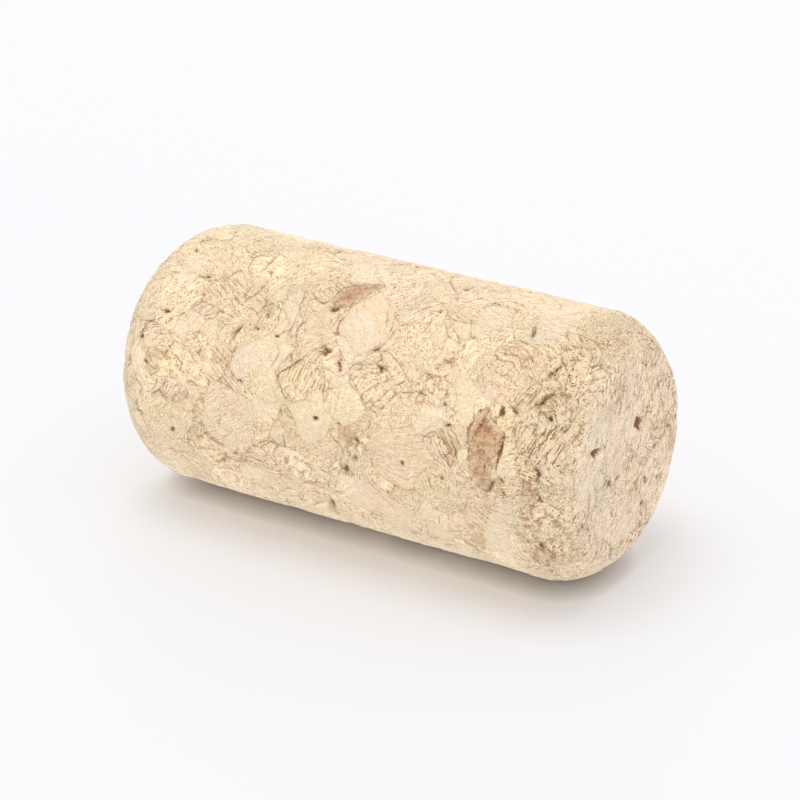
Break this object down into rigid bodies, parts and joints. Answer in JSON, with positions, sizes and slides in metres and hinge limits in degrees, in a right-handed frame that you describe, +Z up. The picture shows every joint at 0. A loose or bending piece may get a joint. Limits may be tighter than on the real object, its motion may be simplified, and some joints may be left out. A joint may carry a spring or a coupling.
{
  "type": "cork stopper",
  "caption": "Straight agglomerated cork stopper, a ground cylinder with a crowned bevel at each end.",
  "frame": {"origin": "centre of the lower flat end, on which the stopper stands", "axes": "+Z up along the stopper's axis, the axis of symmetry and the longest side; +X and +Y lie in the lower end"},
  "size_m": [0.023, 0.023, 0.045],
  "materials": {
    "agglomerated_cork": "ground agglomerated cork, matt, pale cream granules with tan seams and open pores"
  },
  "bodies": {
    "root": {"stopper": "agglomerated_cork"}
  },
  "joints": []
}
